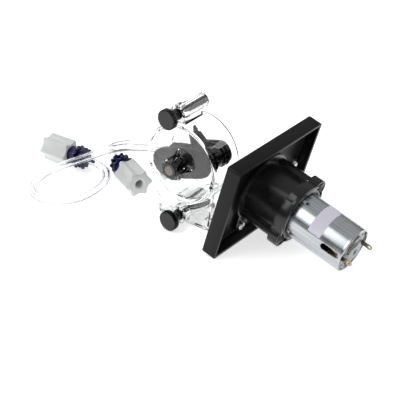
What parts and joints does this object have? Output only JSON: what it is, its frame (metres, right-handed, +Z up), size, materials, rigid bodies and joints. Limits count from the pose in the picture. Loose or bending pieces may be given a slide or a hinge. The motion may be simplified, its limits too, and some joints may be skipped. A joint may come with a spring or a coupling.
{
  "type": "peristaltic pump",
  "caption": "Panel-mount peristaltic pump kit: geared motor on a tray plate, clear roller head with spring thumb screws, and a squeeze tube with compression fittings.",
  "frame": {"origin": "on the table under the middle of the drive unit and pump head", "axes": "+X along the mounting plate's long side and the pump head's shaft, +Y from the motor towards the head and tube, +Z up"},
  "size_m": [0.1316, 0.301, 0.1022],
  "materials": {
    "black_plastic": "moulded, satin",
    "steel_bright": "turned",
    "bronze_bush": "sintered",
    "white_acetal": "moulded",
    "zinc_can": "zinc plated, drawn",
    "rotor_black": "moulded, semi gloss",
    "carbon": "sintered",
    "brass": "stamped",
    "dark_steel": "pressed",
    "copper": "enamelled wire",
    "clear_plastic": "clear polycarbonate, polished",
    "knob_black": "knurled",
    "spring_steel": "black wire",
    "rotor_grey": "moulded, matt",
    "clear_tube": "flexible, clear",
    "navy_plastic": "moulded",
    "white_nut": "moulded, fluted"
  },
  "bodies": {
    "drive_unit": {"mounting_plate": "black_plastic", "gear_housing": "black_plastic", "thumb_nuts": "steel_bright", "housing_screws": "steel_bright", "output_bush": "bronze_bush", "ring_gear": "white_acetal", "gearbox_cover": "black_plastic", "motor_collar": "black_plastic", "motor_screws": "steel_bright", "motor_can": "zinc_can", "motor_end_cap": "zinc_can", "terminal_insulators": "rotor_black", "brushes": "carbon", "terminal_left": "brass", "terminal_right": "brass", "magnets": "dark_steel", "motor_front_bush": "bronze_bush", "motor_rear_bush": "bronze_bush"},
    "armature": {"motor_shaft": "steel_bright", "sun_pinion": "brass", "armature_core": "dark_steel", "armature_windings": "copper", "commutator": "copper"},
    "carrier": {"planet_carrier": "steel_bright", "planet_pins": "steel_bright", "drive_cross_pin": "steel_bright"},
    "planet_1": {"planet_gear_1": "white_acetal"},
    "planet_2": {"planet_gear_2": "white_acetal"},
    "planet_3": {"planet_gear_3": "white_acetal"},
    "pump_head": {"head_housing": "clear_plastic", "head_bush": "rotor_black", "screw_collar_top": "knob_black", "screw_collar_bottom": "knob_black", "screw_spring_top": "spring_steel", "screw_spring_bottom": "spring_steel"},
    "rotor": {"rotor_shaft": "steel_bright", "rotor_front_plate": "rotor_grey", "rotor_hub": "rotor_black", "rotor_rear_plate": "rotor_black", "roller_pins": "steel_bright"},
    "roller_a": {"roller_a": "rotor_black"},
    "roller_b": {"roller_b": "rotor_black"},
    "washer_top": {"screw_washer_top": "steel_bright"},
    "screw_top": {"thumb_screw_top": "knob_black"},
    "washer_bottom": {"screw_washer_bottom": "steel_bright"},
    "screw_bottom": {"thumb_screw_bottom": "knob_black"},
    "tube_set": {"squeeze_tube": "clear_tube", "fitting_a": "navy_plastic", "fitting_b": "navy_plastic"},
    "nut_a": {"nut_a": "white_nut", "ferrule_a": "white_acetal"},
    "nut_b": {"nut_b": "white_nut", "ferrule_b": "white_acetal"}
  },
  "joints": [
    {"name": "armature_spin", "type": "hinge", "parent": "drive_unit", "child": "armature", "pos_m": [0, -0.00623, 0.03956], "axis": [0, -0.9589, -0.2837], "continuous": true},
    {"name": "carrier_spin", "type": "hinge", "parent": "drive_unit", "child": "carrier", "pos_m": [0, -0.00623, 0.03956], "axis": [0, -0.9589, -0.2837], "continuous": true},
    {"name": "planet_1_spin", "type": "hinge", "parent": "carrier", "child": "planet_1", "pos_m": [0, -0.02647, 0.04452], "axis": [0, -0.9589, -0.2837], "continuous": true},
    {"name": "planet_2_spin", "type": "hinge", "parent": "carrier", "child": "planet_2", "pos_m": [-0.00909, -0.022, 0.02942], "axis": [0, -0.9589, -0.2837], "continuous": true},
    {"name": "planet_3_spin", "type": "hinge", "parent": "carrier", "child": "planet_3", "pos_m": [0.00909, -0.022, 0.02942], "axis": [0, -0.9589, -0.2837], "continuous": true},
    {"name": "head_lift", "type": "slide", "parent": "drive_unit", "child": "pump_head", "axis": [0, 0, 1], "range_m": [0, 0.12]},
    {"name": "rotor_spin", "type": "hinge", "parent": "pump_head", "child": "rotor", "pos_m": [-0.0189, 0.05707, 0.0514], "axis": [1, 0, 0], "continuous": true},
    {"name": "roller_a_spin", "type": "hinge", "parent": "rotor", "child": "roller_a", "pos_m": [-0.0109, 0.03958, 0.05642], "axis": [1, 0, 0], "continuous": true},
    {"name": "roller_b_spin", "type": "hinge", "parent": "rotor", "child": "roller_b", "pos_m": [-0.0109, 0.07457, 0.04638], "axis": [1, 0, 0], "continuous": true},
    {"name": "screw_push_top", "type": "slide", "parent": "pump_head", "child": "washer_top", "axis": [1, 0, 0], "range_m": [0, 0.0032], "stiffness_N_per_m": 300, "springref_m": -0.001, "deforming": ["screw_spring_top"]},
    {"name": "screw_turn_top", "type": "hinge", "parent": "washer_top", "child": "screw_top", "pos_m": [-0.0389, 0.05707, 0.0942], "axis": [1, 0, 0], "continuous": true},
    {"name": "screw_push_bottom", "type": "slide", "parent": "pump_head", "child": "washer_bottom", "axis": [1, 0, 0], "range_m": [0, 0.0032], "stiffness_N_per_m": 300, "springref_m": -0.001, "deforming": ["screw_spring_bottom"]},
    {"name": "screw_turn_bottom", "type": "hinge", "parent": "washer_bottom", "child": "screw_bottom", "pos_m": [-0.0389, 0.05707, 0.0086], "axis": [1, 0, 0], "continuous": true},
    {"name": "tube_set_lift", "type": "slide", "parent": "drive_unit", "child": "tube_set", "axis": [0, 0, 1], "range_m": [0, 0.12]},
    {"name": "nut_a_turn", "type": "hinge", "parent": "tube_set", "child": "nut_a", "pos_m": [-0.01028, 0.19554, 0.01005], "axis": [-0.0593, 0.9982, 0], "continuous": true},
    {"name": "nut_b_turn", "type": "hinge", "parent": "tube_set", "child": "nut_b", "pos_m": [-0.00679, 0.12238, 0.01005], "axis": [-0.4226, -0.9063, 0], "continuous": true}
  ],
  "couplings": [
    {"joint": "carrier_spin", "follows": "armature_spin", "ratio": 0.2},
    {"joint": "planet_1_spin", "follows": "armature_spin", "ratio": -0.53333},
    {"joint": "planet_2_spin", "follows": "armature_spin", "ratio": -0.53333},
    {"joint": "planet_3_spin", "follows": "armature_spin", "ratio": -0.53333}
  ]
}
